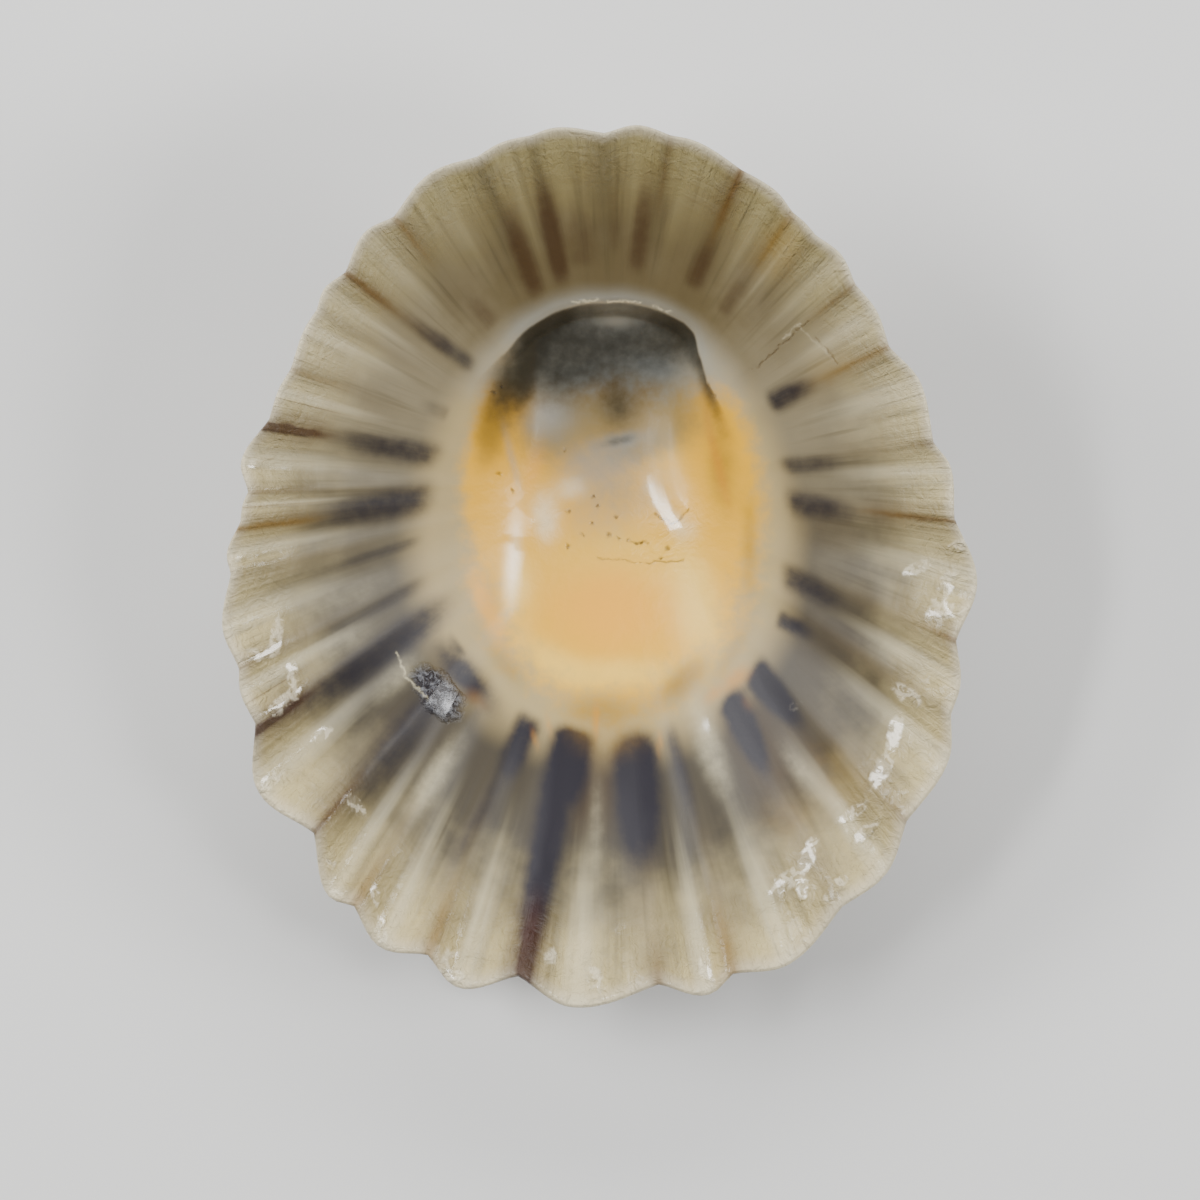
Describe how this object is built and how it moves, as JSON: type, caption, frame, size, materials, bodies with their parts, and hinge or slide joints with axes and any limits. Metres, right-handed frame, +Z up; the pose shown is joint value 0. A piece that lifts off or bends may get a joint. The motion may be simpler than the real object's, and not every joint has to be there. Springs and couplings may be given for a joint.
{
  "type": "limpet shell",
  "caption": "Empty limpet shell lying on its back, with a scalloped oval rim, radiating ribs outside and a glossy rayed bowl inside.",
  "frame": {"origin": "centre of the shell's plan box, at the height of the surface it rests on", "axes": "+Z up, out of the bowl; +Y towards the shell's front end, which is the raised and narrower end; +X to the right as seen looking down into the bowl"},
  "size_m": [0.038, 0.0442, 0.017],
  "materials": {
    "shell": "inside glossy and pale with dark rays, an orange and cream callus and a dark hollow under the apex; outside dull, ribbed and tan"
  },
  "bodies": {
    "root": {"shell": "shell"}
  },
  "joints": []
}
